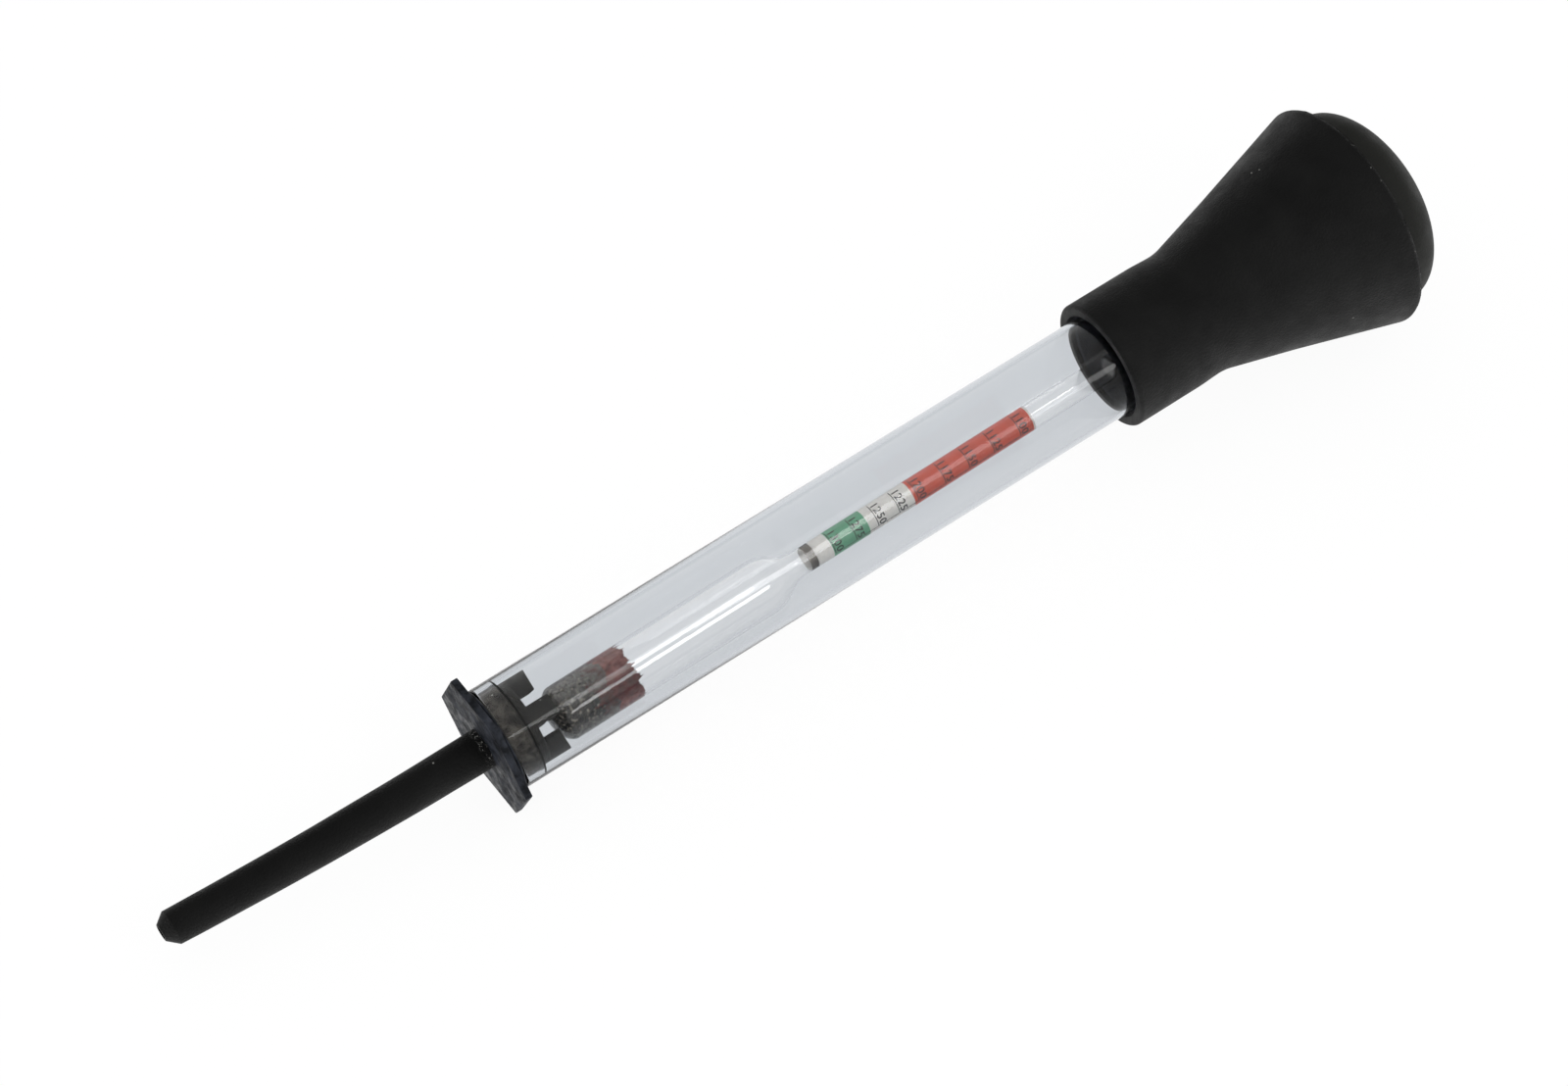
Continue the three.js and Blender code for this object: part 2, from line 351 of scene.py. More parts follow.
def blend_colours(tree, share, first, second):
    node = tree.nodes.new("ShaderNodeMix")
    node.data_type = "RGBA"
    feed(tree, share, node.inputs["Factor"])
    for value, socket in ((first, MIX_FIRST), (second, MIX_SECOND)):
        feed(tree, (*value, 1) if isinstance(value, tuple) else value, node.inputs[socket])
    return node.outputs[MIX_RESULT]


def multiply_colours(tree, first, second):
    node = tree.nodes.new("ShaderNodeMix")
    node.data_type = "RGBA"
    node.blend_type = "MULTIPLY"
    node.inputs["Factor"].default_value = 1
    tree.links.new(first, node.inputs[MIX_FIRST])
    tree.links.new(second, node.inputs[MIX_SECOND])
    return node.outputs[MIX_RESULT]


def ramp(tree, fac, *stops):
    node = tree.nodes.new("ShaderNodeValToRGB")
    tree.links.new(fac, node.inputs["Fac"])
    elements = node.color_ramp.elements
    while len(elements) < len(stops):
        elements.new(0.5)
    for element, (position, value) in zip(elements, stops):
        element.position = position
        element.color = (*value, 1) if isinstance(value, tuple) else (value, value, value, 1)
    return node.outputs["Color"]


def bump(tree, shader, height, strength, distance):
    node = add(tree, "ShaderNodeBump", Height=height, Strength=strength, Distance=distance)
    tree.links.new(node.outputs["Normal"], shader.inputs["Normal"])


def object_point(tree):
    return tree.nodes.new("ShaderNodeTexCoord").outputs["Object"]


def cloud(tree, scale, detail=4.0, roughness=0.55, distortion=0.0):
    node = add(tree, "ShaderNodeTexNoise", Vector=object_point(tree), Scale=scale, Detail=detail,
               Roughness=roughness, Distortion=distortion)
    return node.outputs["Fac"]


def distance_along(tree, direction, start):
    """Millimetres from a place, in a direction, to the point that is shaded."""
    reach = vector_maths(tree, "DOT_PRODUCT", object_point(tree), direction / MM).outputs["Value"]
    return calculate(tree, "SUBTRACT", reach, direction.dot(start) / MM)


def axis_distance(tree):
    return distance_along(tree, barrel_axis, along_barrel.translation)


def side_distance(tree, middle=along_barrel):
    """Millimetres from the middle plane towards the side that faces down and away from the light."""
    aside = along_barrel.to_3x3() @ round_point(0, 1, PRINT_ANGLE + 90)
    return distance_along(tree, aside, middle.translation)


def band(tree, start, end, fade):
    """1 between two places along the barrel, and 0 away from them, over a fade in millimetres."""
    x = axis_distance(tree)
    rise = add(tree, "ShaderNodeMapRange", Value=x, From_Min=start - fade, From_Max=start + fade)
    fall = add(tree, "ShaderNodeMapRange", Value=x, From_Min=end + fade, From_Max=end - fade)
    return calculate(tree, "MULTIPLY", rise.outputs["Result"], fall.outputs["Result"])


def specks(tree, scale, size, share):
    """1 on scattered small spots, of this radius in cells, in this share of the cells."""
    cells = add(tree, "ShaderNodeTexVoronoi", Vector=object_point(tree), Scale=scale)
    spot = calculate(tree, "LESS_THAN", cells.outputs["Distance"], size)
    draw = tree.nodes.new("ShaderNodeSeparateColor")
    tree.links.new(cells.outputs["Color"], draw.inputs["Color"])
    chosen = calculate(tree, "GREATER_THAN", draw.outputs[0], 1 - share)
    return calculate(tree, "MULTIPLY", spot, chosen)


def flecks(tree, scale, above):
    """1 on ragged flecks: where a rough cloud rises over this level."""
    return calculate(tree, "GREATER_THAN", cloud(tree, scale, 6, 0.75, 0.6), above)


def make_rubber(name, dark, light, gloss, specular, grain, dust=0.004, extra_dust=None, painted_reflection_mask=None):
    """Black moulded rubber: a cloudy tone, a fine grain, and a few pale specks of dust."""
    material, tree, shader = new_material(name, Specular_IOR_Level=specular)
    tone = ramp(tree, cloud(tree, 90, 5), (0.3, dark), (0.75, light))
    # painted reflection: where the mask says, the rubber is painted a paler bluish grey
    if painted_reflection_mask:
        pale_cloud = ramp(tree, cloud(tree, 160, 5, 0.6, 0.8),
                     (0.35, (0.008, 0.009, 0.012)), (0.7, (0.034, 0.037, 0.05)))
        tone = blend_colours(tree, painted_reflection_mask(tree), tone, pale_cloud)
    mask = specks(tree, 900, 0.16, dust)
    if extra_dust:
        mask = calculate(tree, "MAXIMUM", mask, extra_dust(tree))
    tree.links.new(blend_colours(tree, mask, tone, (0.2, 0.2, 0.19)), shader.inputs["Base Color"])
    sheen = ramp(tree, cloud(tree, 260, 6), (0.3, gloss - 0.08), (0.7, gloss + 0.08))
    tree.links.new(sheen, shader.inputs["Roughness"])
    bump(tree, shader, cloud(tree, 2400, 3), grain, 0.0004)
    return material


def make_glass(name, tint, shaded_tint, ior, specular):
    """Clear glass with a faint smear, and a little darker on the side turned down and away from the light."""
    material, tree, shader = new_material(name, Roughness=0.0, IOR=ior, Transmission_Weight=1.0,
                                          Specular_IOR_Level=specular)
    side = add(tree, "ShaderNodeMapRange", Value=side_distance(tree), From_Min=-6.0, From_Max=6.0)
    tone = blend_colours(tree, side.outputs["Result"], (tint,) * 3, (shaded_tint,) * 3)
    smear = ramp(tree, cloud(tree, 60, 3), (0.2, (0.985, 0.985, 0.985)), (0.8, (1, 1, 1)))
    tree.links.new(multiply_colours(tree, tone, smear), shader.inputs["Base Color"])
    return material


def make_plain(name, colour, roughness, metallic=0.0, spread=0.2, scale=700):
    material, tree, shader = new_material(name, Metallic=metallic)
    darker = tuple(c * (1 - spread) for c in colour)
    lighter = tuple(min(c * (1 + spread), 1) for c in colour)
    tone = ramp(tree, cloud(tree, scale, 4), (0.3, darker), (0.7, lighter))
    tree.links.new(tone, shader.inputs["Base Color"])
    gloss = ramp(tree, cloud(tree, 1500, 3), (0.3, roughness * 0.85), (0.7, min(roughness * 1.15, 1)))
    tree.links.new(gloss, shader.inputs["Roughness"])
    bump(tree, shader, cloud(tree, 5000, 3), 0.15, 0.0001)
    return material


def make_cap_plastic():
    """Near-black plastic, mottled on the flange, with a brown bloom and dust on what is inside the glass."""
    material, tree, shader = new_material("cap plastic", Specular_IOR_Level=0.12)
    tone = ramp(tree, cloud(tree, 350, 6, 0.65),
                (0.38, (0.006, 0.007, 0.009)), (0.66, (0.035, 0.039, 0.05)))
    inside = ramp(tree, cloud(tree, 300, 5, 0.6),
                  (0.35, (0.007, 0.007, 0.0068)), (0.68, (0.02, 0.0195, 0.018)))
    pale_cloud = ramp(tree, cloud(tree, 420, 6, 0.7),
                 (0.42, (0.01, 0.009, 0.0075)), (0.6, (0.062, 0.056, 0.048)))
    tone = blend_colours(tree, band(tree, COLLAR_END, FINGER_END + 1, 0.15), tone, inside)
    tone = blend_colours(tree, band(tree, COLLAR_END, PLUG_END - 0.3, 0.15), tone, pale_cloud)
    dust = calculate(tree, "MAXIMUM", flecks(tree, 800, 0.67), specks(tree, 1100, 0.2, 0.05))
    dust = calculate(tree, "MULTIPLY", dust, band(tree, COLLAR_END, FINGER_END + 1, 0.15))
    tree.links.new(blend_colours(tree, dust, tone, (0.4, 0.4, 0.38)), shader.inputs["Base Color"])
    gloss = ramp(tree, cloud(tree, 300, 6, 0.7), (0.38, 0.34), (0.62, 0.8))
    tree.links.new(gloss, shader.inputs["Roughness"])
    bump(tree, shader, cloud(tree, 1300, 5, 0.7), 0.5, 0.0002)
    return material


def film(tree):
    """How much painted light lies over what is in the float: a painted sheen on its two sides, none in the
    band between them, patchy by a cloud.
    """
    aside = side_distance(tree, along_float)
    side = add(tree, "ShaderNodeMapRange", Value=aside, From_Min=-5.0, From_Max=5.0)
    share = ramp(tree, side.outputs["Result"], (0.0, 0.9), (0.44, 0.6), (0.5, 0.0), (0.74, 0.0), (0.9, 1.0))
    return calculate(tree, "MULTIPLY", share, ramp(tree, cloud(tree, 800, 5, 0.7), (0.36, 0.15), (0.64, 1.0)))


def make_shot_material():
    """Grains of differing browns and greys, with red sealing wax between them near the top."""
    material, tree, shader = new_material("shot", Roughness=0.5, Specular_IOR_Level=0.03)
    cells = add(tree, "ShaderNodeTexVoronoi", Vector=object_point(tree), Scale=2400)
    draw = tree.nodes.new("ShaderNodeSeparateColor")
    tree.links.new(cells.outputs["Color"], draw.inputs["Color"])
    grains = ramp(tree, draw.outputs[0], (0.0, (0.003, 0.0025, 0.002)), (0.45, (0.01, 0.0085, 0.006)),
                  (0.85, (0.05, 0.043, 0.032)), (1.0, (0.3, 0.27, 0.22)))
    wax = ramp(tree, cloud(tree, 900, 4, 0.6), (0.35, (0.03, 0.006, 0.004)), (0.7, (0.12, 0.014, 0.009)))
    near = add(tree, "ShaderNodeMapRange", Value=axis_distance(tree), From_Min=18.0, From_Max=27.0)
    patch = calculate(tree, "LESS_THAN", cloud(tree, 700, 4, 0.6), near.outputs["Result"])
    filling = blend_colours(tree, patch, grains, wax)
    # painted light: the grains and wax turn pale grey where a painted sheen lies on the float's two sides
    with_painted_side_light = blend_colours(tree, film(tree), filling, (0.22, 0.215, 0.2))
    tree.links.new(with_painted_side_light, shader.inputs["Base Color"])
    bump(tree, shader, cells.outputs["Distance"], 0.5, 0.0003)
    return material


def make_wax_material():
    """Brick-red sealing wax, turned a patchy pale pink by painted light on the float's two sides."""
    material, tree, shader = new_material("wax", Roughness=0.45, Specular_IOR_Level=0.03)
    tone = ramp(tree, cloud(tree, 700, 6, 0.7),
                (0.3, (0.035, 0.0015, 0.001)), (0.7, (0.14, 0.006, 0.004)))
    # painted light: the wax turns pale pink where a painted sheen lies on the float's two sides
    with_painted_side_light = blend_colours(tree, film(tree), tone, (0.38, 0.14, 0.12))
    tree.links.new(with_painted_side_light, shader.inputs["Base Color"])
    bump(tree, shader, cloud(tree, 1800, 4), 0.4, 0.0002)
    return material


# ---------------------------------------------------------------- barrel, cap and nozzle

def make_barrel():
    outline = soften([
        (BARREL_START, BORE_R, 0.35), (BARREL_START, BARREL_R, 0.4),
        (BARREL_END, BARREL_R, 0.4), (BARREL_END, BORE_R, 0.35),
    ])
    piece = revolve("barrel_tube", outline, 192)
    glass = make_glass("barrel glass", 0.985, 0.965, 1.25, 1.0)
    finish_piece(piece, glass, "barrel", ["glass_barrel"])


def make_finger(angle):
    """A block between the bore and the glass, with a curved back, standing on the cap's disc."""
    half = math.degrees(math.asin(FINGER_WIDTH / 2 / DISC_R))
    section = [(FINGER_INNER_R, FINGER_WIDTH / 2), (FINGER_INNER_R, -FINGER_WIDTH / 2)]
    section += [tuple(round_point(0, DISC_R, -half + 2 * half * i / 8))[1:] for i in range(9)]
    shape = bmesh.new()
    base = [shape.verts.new((PLUG_END + 0.5, y, z)) for y, z in section]
    tip = [shape.verts.new((FINGER_END, y, z)) for y, z in section]
    shape.faces.new(base)
    top = shape.faces.new(reversed(tip))
    count = len(section)
    for i in range(count):
        n = (i + 1) % count
        shape.faces.new((base[n], base[i], tip[i], tip[n]))
    upright = [e for e in shape.edges if e.verts[0].co.x != e.verts[1].co.x and e.calc_face_angle(0) > 0.6]
    edges = list(top.edges) + upright
    bmesh.ops.bevel(shape, geom=edges, offset=0.4, segments=4, affect="EDGES", profile=0.5)
    bmesh.ops.recalc_face_normals(shape, faces=shape.faces)
    bmesh.ops.rotate(shape, verts=shape.verts, matrix=Matrix.Rotation(math.radians(angle), 3, "X"))
    return shape_object("finger", shape)


def make_flange():
    """A hexagonal plate with one flat straight down and softly broken edges."""
    radius = FLANGE_ACROSS_FLATS / 2 / math.cos(math.radians(30))
    shape = bmesh.new()
    front = [shape.verts.new(round_point(FLANGE_START, radius, 60 * k)) for k in range(6)]
    back = [shape.verts.new(round_point(FLANGE_END, radius, 60 * k)) for k in range(6)]
    shape.faces.new(front)
    shape.faces.new(reversed(back))
    for k in range(6):
        n = (k + 1) % 6
        shape.faces.new((front[n], front[k], back[k], back[n]))
    bmesh.ops.recalc_face_normals(shape, faces=shape.faces)
    bmesh.ops.bevel(shape, geom=list(shape.edges), offset=0.18, segments=3, affect="EDGES", profile=0.5)
    return shape_object("cap_moulding", shape)


def make_end_cap(material):
    cap = make_flange()
    middle, groove = (FLANGE_START + FLANGE_END) / 2, 2.1
    body = revolve("cap body", soften([
        (middle, 0), (middle, COLLAR_R), (groove - 0.2, COLLAR_R, 0.08), (groove, COLLAR_R - 0.25, 0.08),
        (groove + 0.2, COLLAR_R, 0.08), (COLLAR_END, COLLAR_R, 0.3),
        (COLLAR_END, PLUG_R - 0.1), (PLUG_END, PLUG_R - 0.1),
        (PLUG_END, DISC_R), (DISC_END, DISC_R, 0.3), (DISC_END, 0),
    ]), closed=False)
    combine(cap, body, "UNION")
    for k in range(FINGER_COUNT):
        combine(cap, make_finger(FINGER_FIRST_ANGLE + 360 / FINGER_COUNT * k), "UNION")
    bore = revolve("bore", [(-1, 0), (-1, SUCTION_R), (20, SUCTION_R), (20, 0)], 48, closed=False)
    combine(cap, bore, "DIFFERENCE")
    shade(cap, 32)
    finish_piece(cap, material, "cap", ["end_cap"])


def make_plug_lip(material):
    """The plug's sealing lip, pressed against the bore."""
    outline = soften([(PLUG_END - 0.32, PLUG_R - 0.4), (PLUG_END - 0.32, BORE_R + 0.03, 0.12),
                      (PLUG_END + 0.12, BORE_R + 0.03, 0.12), (PLUG_END + 0.12, PLUG_R - 0.4)])
    piece = revolve("plug_lip", outline, 160)
    finish_piece(piece, material, "cap")


def nozzle_shift(x):
    """How far the nozzle's set moves its middle sideways at x."""
    return NOZZLE_BEND * max(x / NOZZLE_TIP, 0) ** 2


def make_nozzle(material):
    shaft = straight((NOZZLE_TIP + NOZZLE_CHAMFER, NOZZLE_TIP_R), (FLANGE_START, NOZZLE_ROOT_R), 60)
    face = soften([(NOZZLE_TIP, SUCTION_R), (NOZZLE_TIP, NOZZLE_FACE_R, 0.15), shaft[0]], 4)[:-1]
    bore = straight((FLANGE_START, SUCTION_R), (NOZZLE_TIP + 0.1, SUCTION_R), 60)
    piece = revolve("nozzle_tube", [*face, *shaft, *bore], 96, sharp=30)
    for vertex in piece.data.vertices:
        x, y, z = vertex.co
        swell = 1 + 0.012 * noise.noise(Vector((x * 0.12, y * 0.2, z * 0.2)))
        vertex.co = (x, y * swell + nozzle_shift(x), z * swell)
    finish_piece(piece, material, "cap", ["nozzle"])


# ---------------------------------------------------------------- bulb

def make_bulb(material):
    mouth_r = BARREL_R + 0.12
    outline = soften([
        (NECK_START + 1.3, mouth_r, 0.4), (NECK_START, mouth_r + 0.55, 0.3), (NECK_START, NECK_R, 0.7),
        (NECK_BEND, NECK_R, 30), (WAIST, WAIST_R, 12), (FLARE_MIDDLE, FLARE_MIDDLE_R, 90),
        (LEDGE, RIM_CORNER_R, RIM_ROUND), (LEDGE, SEAT_R, 0.3), (SEAT_START, SEAT_R),
        (CAVITY_START, CAVITY_R, 1), (BARREL_END + 0.3, CAVITY_R, 0.3), (BARREL_END + 0.3, mouth_r),
    ], 10)
    piece = revolve("bulb_shell", outline, 200, sharp=50)
    for vertex in piece.data.vertices:
        x, y, z = vertex.co
        if math.hypot(y, z) > NECK_R - 1 and x > NECK_START + 1:
            swell = 1 + 0.004 * noise.noise(Vector((x, y, z)) * 0.09)
            vertex.co = (x, y * swell, z * swell)
    finish_piece(piece, material, "bulb", ["rubber_bulb"])


def make_flash(material):
    """The thin ragged line of flash that the mould left round the bulb's rim."""
    sides = 300
    centre_x = LEDGE - RIM_ROUND + FLASH_PLACE
    rim_r = RIM_CORNER_R - RIM_INSET - RIM_ROUND
    base = rim_r + math.sqrt(RIM_ROUND ** 2 - FLASH_PLACE ** 2)
    vertices, faces = [], []
    for k in range(sides):
        angle = 360 * k / sides
        turn = Vector((math.cos(math.radians(angle)), math.sin(math.radians(angle)), 0))
        height = 0.05 + 0.09 * max(noise.noise(turn * 9), 0) + 0.05 * max(noise.noise(turn * 40), 0)
        for x, r in ((-0.1, -0.15), (-0.03, height), (0.03, height - 0.01), (0.1, -0.2)):
            vertices.append(round_point(centre_x + x, base + r, angle))
    for k in range(sides):
        first, second = 4 * k, 4 * ((k + 1) % sides)
        for i in range(4):
            n = (i + 1) % 4
            faces.append((first + i, first + n, second + n, second + i))
    piece = mesh_object("rim_flash", vertices, faces)
    outward(piece)
    finish_piece(piece, material, "bulb")


def make_dome(material):
    inner_r = DOME_R - DOME_WALL
    outline = [
        (DOME_SKIRT_START, inner_r), (DOME_SKIRT_START, DOME_R),
        *ellipse(DOME_CENTRE, DOME_HEIGHT, DOME_R, 0, 90, 48),
        *ellipse(DOME_CENTRE, DOME_HEIGHT - DOME_WALL, inner_r, 90, 0, 24),
    ]
    piece = revolve("bulb_cap", outline, 160, sharp=50)
    finish_piece(piece, material, None, ["bulb_dome"])
    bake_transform(piece)


# ---------------------------------------------------------------- float

def make_float():
    bore_r, stem_bore = FLOAT_R - FLOAT_WALL, STEM_R - STEM_WALL
    nose = FLOAT_TIP + FLOAT_NOSE
    tip = STEM_END - 2
    outer = ellipse(nose, FLOAT_NOSE, FLOAT_R, -90, 0, 20)
    outer += soften([(nose, FLOAT_R), (FLOAT_BODY_END + 0.6, FLOAT_R, 7), (STEM_START - 0.6, STEM_R, 7),
                     (tip, STEM_R)], 12)[1:-1]
    outer += ellipse(tip, 2, STEM_R, 0, 90, 12)
    inner = ellipse(nose, FLOAT_NOSE - FLOAT_WALL, bore_r, -90, 0, 20)
    inner += soften([(nose, bore_r), (FLOAT_BODY_END + 0.4, bore_r, 7), (STEM_START - 0.8, stem_bore, 7),
                     (tip, stem_bore)], 12)[1:-1]
    inner += ellipse(tip, 1.5, stem_bore, 0, 90, 12)
    shell = revolve("float_tube", outer, 96, closed=False, sharp=60)
    hollow = revolve("float hollow", inner, 96, closed=False, sharp=60)
    shape = bmesh.new()
    shape.from_mesh(hollow.data)
    bmesh.ops.reverse_faces(shape, faces=shape.faces)
    shape.from_mesh(shell.data)
    shape.to_mesh(shell.data)
    shape.free()
    bpy.data.objects.remove(hollow)
    glass = make_glass("float glass", 0.99, 0.985, 1.48, 0.5)
    finish_piece(shell, glass, "float", ["float_glass"], along_float)


def boundary_shift(angle):
    """How far the line between shot and wax strays along the float at this angle, in millimetres."""
    turn = Vector((math.cos(math.radians(angle)), math.sin(math.radians(angle)), 0))
    return 1.6 * noise.noise(turn * 1.6) + 0.5 * noise.noise(turn * 9)


def ragged_top(angle):
    """How far the wax has crept up the glass at this angle, with a few sharp teeth."""
    turn = Vector((math.cos(math.radians(angle)), math.sin(math.radians(angle)), 2))
    teeth = max(noise.noise(turn * 14), 0) ** 2 * 5
    return 0.7 * noise.noise(turn * 2.5) + 0.5 * noise.noise(turn * 11) + teeth


def stretch(piece, start, end, shift):
    """Moves a solid's vertices along x, by nothing at `start` and by shift(angle) at `end`."""
    for vertex in piece.data.vertices:
        x, y, z = vertex.co
        part = min(max((x - start) / (end - start), 0), 1)
        edge = min(math.hypot(y, z) / 3, 1)
        vertex.co.x = x + shift(math.degrees(math.atan2(z, y))) * part * edge


def make_shot():
    """Loose shot in the float's nose: one body whose skin is pressed into grains."""
    nose = FLOAT_TIP + FLOAT_NOSE
    depth = FLOAT_NOSE - FLOAT_WALL + 0.2
    end = SHOT_END + 1.5
    outline = [*ellipse(nose, depth, FILL_R, -90, 0, 20), *straight((nose, FILL_R), (end, FILL_R), 70)[1:],
               *straight((end, FILL_R), (end, 0), 6)[1:]]
    piece = revolve("ballast_grains", outline, 240, closed=False, sharp=180)
    normals = [v.normal.copy() for v in piece.data.vertices]
    for vertex, normal in zip(piece.data.vertices, normals):
        distances, _ = noise.voronoi(vertex.co * 2.2)
        vertex.co -= normal * min(distances[0], 0.8) * 0.2
    stretch(piece, nose, end, boundary_shift)
    finish_piece(piece, make_shot_material(), "float", ["ballast_shot"], along_float)


def make_wax():
    """Sealing wax over the shot, dished in the middle and ragged where it wets the glass."""
    start = SHOT_END + 1.53
    outline = [*straight((start, 0), (start, FILL_R), 6)[:-1],
               *straight((start, FILL_R), (WAX_END, FILL_R), 40),
               (WAX_END - 0.5, FILL_R - 0.25), (WAX_END - 1.1, FILL_R - 0.9), (WAX_END - 1.4, 2),
               (WAX_END - 1.5, 0)]
    piece = revolve("ballast_seal", outline, 300, closed=False, sharp=180)
    for vertex in piece.data.vertices:
        x, y, z = vertex.co
        angle = math.degrees(math.atan2(z, y))
        part = (x - start) / (WAX_END - start)
        edge = min(math.hypot(y, z) / FILL_R, 1) ** 4
        shift = boundary_shift(angle) * (1 - part) * min(math.hypot(y, z) / 3, 1)
        vertex.co.x = x + shift + ragged_top(angle) * max(part, 0) ** 4 * edge
        vertex.co += vertex.normal * 0.06 * (noise.noise(Vector((x, y, z)) * 2.2) - 0.5)
    finish_piece(piece, make_wax_material(), "float", ["ballast_wax"], along_float)


def make_ring():
    outline = soften([(RING_START, RING_BORE_R), (RING_START, PAPER_R, 0.05), (RING_END, PAPER_R, 0.05),
                      (RING_END, RING_BORE_R)])
    piece = revolve("stem_ring", outline, 96)
    finish_piece(piece, make_plain("ring steel", (0.1, 0.09, 0.08), 0.22, 1.0, spread=0.35), "float",
                 ["scale_ring"], along_float)


PAPER_COLOURS = {"white": (0.92, 0.91, 0.88), "green": (0.14, 0.47, 0.28), "red": (0.76, 0.1, 0.045)}


def make_paper():
    """The rolled paper, one printed band after another, with a little thickness; its end fills the ring."""
    stops = [PAPER_START] + [end for _, end in BANDS]
    collar_r, lining_r = RING_BORE_R - 0.02, PAPER_R - 0.3
    outline = [(RING_START, lining_r), (RING_START, collar_r), (PAPER_START, collar_r)]
    outline += [(x, PAPER_R) for x in stops] + [(PAPER_END, lining_r)]
    piece = revolve("paper_scale", outline, 96)
    names = list(PAPER_COLOURS)
    for name in names:
        colour = PAPER_COLOURS[name]
        piece.data.materials.append(make_plain(f"{name} paper", colour, 0.6, spread=0.06, scale=1200))
    for face in piece.data.polygons:
        colour = next((name for name, end in BANDS if face.center.x < end), "white")
        outside = math.hypot(face.center.y, face.center.z) > PAPER_R - 0.05
        face.material_index = names.index(colour if outside else "white")
    finish_piece(piece, None, "float", ["scale_paper"], along_float)


INK_BASE, INK_TOP = PAPER_R - 0.01, PAPER_R + 0.03


def printed_strip(start, end, first_angle, last_angle):
    """A thin raised patch of ink between two places along the stem and two angles round it."""
    steps = max(int(abs(last_angle - first_angle) / 4), 1)
    vertices, faces = [], []
    for i in range(steps + 1):
        angle = first_angle + (last_angle - first_angle) * i / steps
        for x, r in ((start, INK_BASE), (end, INK_BASE), (end, INK_TOP), (start, INK_TOP)):
            vertices.append(round_point(x, r, angle))
    for i in range(steps):
        for k in range(4):
            n = (k + 1) % 4
            faces.append((4 * i + k, 4 * i + n, 4 * i + 4 + n, 4 * i + 4 + k))
    faces += [(3, 2, 1, 0), tuple(4 * steps + k for k in range(4))]
    piece = mesh_object("strip", vertices, faces)
    outward(piece)
    return piece


def printed_number(number, line):
    """Digits wrapped round the stem, standing on the line with their tops towards the bulb."""
    curve = bpy.data.curves.new("digits", "FONT")
    curve.body = str(number)
    curve.size = DIGIT_HEIGHT / 0.73
    curve.space_character = 1.1
    curve.offset = 0.025
    curve.align_x = "CENTER"
    curve.extrude = (INK_TOP - INK_BASE) / 2
    curve.resolution_u = 4
    digits = bpy.data.objects.new("digits", curve)
    bpy.context.scene.collection.objects.link(digits)
    graph = bpy.context.evaluated_depsgraph_get()
    mesh = bpy.data.meshes.new_from_object(digits.evaluated_get(graph))
    bpy.data.objects.remove(digits)
    shape = bmesh.new()
    shape.from_mesh(mesh)
    bmesh.ops.remove_doubles(shape, verts=shape.verts, dist=1e-5)
    for _ in range(3):
        long_edges = [e for e in shape.edges if abs(e.verts[0].co.x - e.verts[1].co.x) > 0.35]
        bmesh.ops.subdivide_edges(shape, edges=long_edges, cuts=1)
        bmesh.ops.triangulate(shape, faces=shape.faces)
    for vertex in shape.verts:
        reading, up, out = vertex.co
        angle = PRINT_ANGLE + math.degrees(reading / PAPER_R)
        vertex.co = round_point(line + 0.4 + up, (INK_BASE + INK_TOP) / 2 + out, angle)
    return shape_object("number", shape)


def make_print():
    """The scale's ink: a line and a number for every 25, short ticks between, and the line they stand on."""
    first, last = PRINT_ANGLE - PRINT_REACH, PRINT_ANGLE + PRINT_REACH - 6
    pieces = [printed_strip(SCALE_LINES[1300], PAPER_END - 0.6, last - 1.2, last + 1.2)]
    lines = sorted(SCALE_LINES.items(), reverse=True)
    for number, line in lines:
        pieces.append(printed_number(number, line))
        pieces.append(printed_strip(line, line + 0.16, first, last))
    for (_, line), (_, following) in zip(lines, lines[1:]):
        for i in range(1, 5):
            tick = line + (following - line) * i / 5
            pieces.append(printed_strip(tick, tick + 0.12, last, last + 7))
    numbers = gather("scale_print", pieces)
    ink = make_plain("ink", (0.02, 0.02, 0.02), 0.6)
    finish_piece(numbers, ink, "float", place=along_float)


# ---------------------------------------------------------------- floor, lights and camera

def make_floor():
    """A pale floor that keeps only a trace of the object's shadow, and looks blue-grey through glass."""
    reach = 3.0
    corners = [(-reach, -reach, 0), (reach, -reach, 0), (reach, reach, 0), (-reach, reach, 0)]
    floor = mesh_object("floor", corners, [(0, 1, 2, 3)])
    floor.location.z = cad_bounds[0].z - 0.0001
    material = bpy.data.materials.new("floor")
    material.use_nodes = True
    tree = material.node_tree
    tree.nodes.clear()
    rays = tree.nodes.new("ShaderNodeLightPath")
    through_glass = rays.outputs["Is Transmission Ray"]
    colour = blend_colours(tree, through_glass, (1.0, 1.0, 1.0), (0.62, 0.65, 0.685))
    glow = add(tree, "ShaderNodeEmission", Color=colour, Strength=1.0)
    matt = add(tree, "ShaderNodeBsdfDiffuse", Color=colour)
    mixed = add(tree, "ShaderNodeMixShader", Fac=0.06)
    tree.links.new(glow.outputs[0], mixed.inputs[1])
    tree.links.new(matt.outputs[0], mixed.inputs[2])
    output = tree.nodes.new("ShaderNodeOutputMaterial")
    tree.links.new(mixed.outputs[0], output.inputs["Surface"])
    floor.data.materials.append(material)


def view_axes():
    """The camera's right, up and back directions, with the barrel's axis at its slope in the picture."""
    turn, rise = math.radians(VIEW_AZIMUTH), math.radians(VIEW_ELEVATION)
    back = Vector((math.sin(turn) * math.cos(rise), -math.cos(turn) * math.cos(rise), math.sin(rise)))
    along = (barrel_axis - back * barrel_axis.dot(back)).normalized()
    aside = back.cross(along)
    slope = math.radians(AXIS_SLOPE)
    right = along * math.cos(slope) - aside * math.sin(slope)
    up = along * math.sin(slope) + aside * math.cos(slope)
    return right, up, back, aside


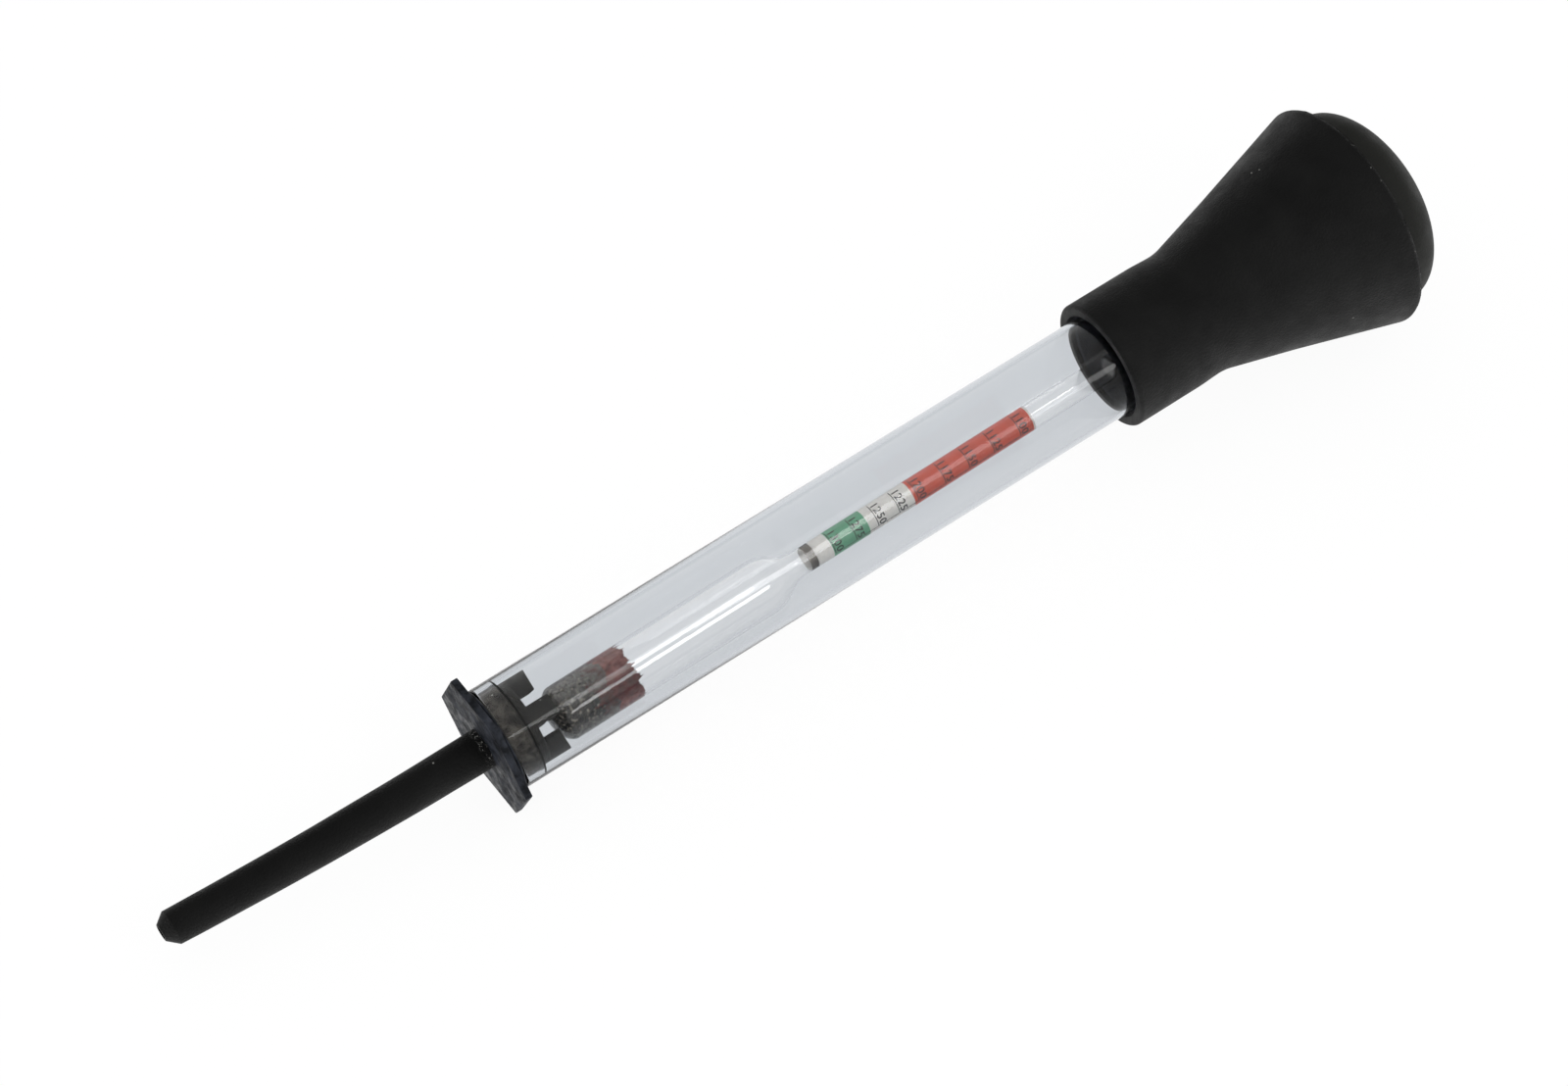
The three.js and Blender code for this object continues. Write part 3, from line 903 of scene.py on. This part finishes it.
def make_light(name, at, around, distance, size, radiance, roll=0):
    """A soft rectangular light, above this place along the barrel and turned this far round it."""
    data = bpy.data.lights.new(name, "AREA")
    data.shape = "RECTANGLE"
    data.size, data.size_y = size
    data.energy = radiance * math.pi * size[0] * size[1]
    light = bpy.data.objects.new(name, data)
    bpy.context.scene.collection.objects.link(light)
    centre = round_point(at, distance, around)
    back = (along_barrel.to_3x3() @ Vector((0, *centre[1:]))).normalized()
    axes = Matrix((barrel_axis, back.cross(barrel_axis), back)).transposed().to_4x4()
    place_there = Matrix.Translation(along_barrel @ (centre * MM))
    light.matrix_world = place_there @ axes @ Matrix.Rotation(math.radians(roll), 4, "Z")


def make_world():
    """White all round, but dimmer in reflections, as in a dark studio, and brighter through glass."""
    world = bpy.data.worlds.new("studio")
    bpy.context.scene.world = world
    world.use_nodes = True
    tree = world.node_tree
    rays = tree.nodes.new("ShaderNodeLightPath")
    dimmed = calculate(tree, "MULTIPLY", rays.outputs["Is Glossy Ray"], WORLD_REFLECTED - 1)
    brightened = calculate(tree, "MULTIPLY", rays.outputs["Is Transmission Ray"], WORLD_THROUGH_GLASS - 1)
    strength = calculate(tree, "ADD", calculate(tree, "ADD", dimmed, brightened), 1.0)
    background = tree.nodes["Background"]
    background.inputs["Color"].default_value = (1, 1, 1, 1)
    tree.links.new(strength, background.inputs["Strength"])


def make_lights():
    make_light("key", at=330, around=PRINT_ANGLE + 14, distance=1000, size=(0.19, 0.215),
               radiance=8.0, roll=-6)
    make_light("fill", at=358, around=PRINT_ANGLE - 22, distance=1200, size=(0.28, 0.25),
               radiance=1.5)


def make_camera():
    right, up, back, aside = view_axes()
    aim = along_barrel @ Vector((VIEW_AIM[0] * MM, 0, 0)) + aside * VIEW_AIM[1] * MM
    data = bpy.data.cameras.new("view")
    data.lens, data.sensor_width = VIEW_LENS, SENSOR_WIDTH
    data.clip_start = 0.05
    camera = bpy.data.objects.new("view", data)
    bpy.context.scene.collection.objects.link(camera)
    axes = Matrix((right, up, back)).transposed().to_4x4()
    camera.matrix_world = Matrix.Translation(aim + back * VIEW_DISTANCE) @ axes
    bpy.context.scene.camera = camera


def set_light_paths():
    scene = bpy.context.scene
    scene.view_settings.view_transform = "Standard"
    scene.cycles.max_bounces = 24
    scene.cycles.transmission_bounces = 24
    scene.cycles.transparent_max_bounces = 24


def near_flange(tree):
    """Pale crumbs that gather where the nozzle leaves the flange."""
    root = band(tree, FLANGE_START - 1.3, FLANGE_START, 0.3)
    return calculate(tree, "MULTIPLY", flecks(tree, 1900, 0.58), root)


def in_mouth(tree):
    """1 on the neck's inside, where the rubber is pressed flat against the glass and a painted reflection
    lies.
    """
    offset = vector_maths(tree, "SUBTRACT", object_point(tree), along_barrel.translation)
    across = vector_maths(tree, "CROSS_PRODUCT", offset.outputs["Vector"], barrel_axis)
    radius = vector_maths(tree, "LENGTH", across.outputs["Vector"]).outputs["Value"]
    inner = calculate(tree, "LESS_THAN", radius, (BARREL_R + 0.3) * MM)
    return calculate(tree, "MULTIPLY", inner, band(tree, NECK_START, CAVITY_START, 0.5))


def along_rim(tree):
    """Pale crumbs caught on the bulb's rim."""
    return calculate(tree, "MULTIPLY", flecks(tree, 800, 0.64), band(tree, LEDGE - 0.9, LEDGE - 0.3, 0.2))


def make_object():
    black, soot = (0.0025, 0.0026, 0.0025), (0.006, 0.0062, 0.0058)
    olive, pale_olive = (0.008, 0.0085, 0.0065), (0.012, 0.0125, 0.01)
    bulb_rubber = make_rubber("bulb rubber", black, soot, 0.58, 0.25, 0.5,
                              extra_dust=along_rim, painted_reflection_mask=in_mouth)
    nozzle_rubber = make_rubber("nozzle rubber", black, soot, 0.56, 0.2, 0.6, 0.012, near_flange)
    dome_rubber = make_rubber("dome rubber", olive, pale_olive, 0.62, 0.3, 0.2, 0.001)
    cap_plastic = make_cap_plastic()
    make_barrel()
    make_end_cap(cap_plastic)
    make_plug_lip(nozzle_rubber)
    make_nozzle(nozzle_rubber)
    make_bulb(bulb_rubber)
    make_flash(bulb_rubber)
    make_dome(dome_rubber)
    make_float()
    make_shot()
    make_wax()
    make_ring()
    make_paper()
    make_print()


make_camera()
make_object()
make_floor()
make_world()
make_lights()
set_light_paths()
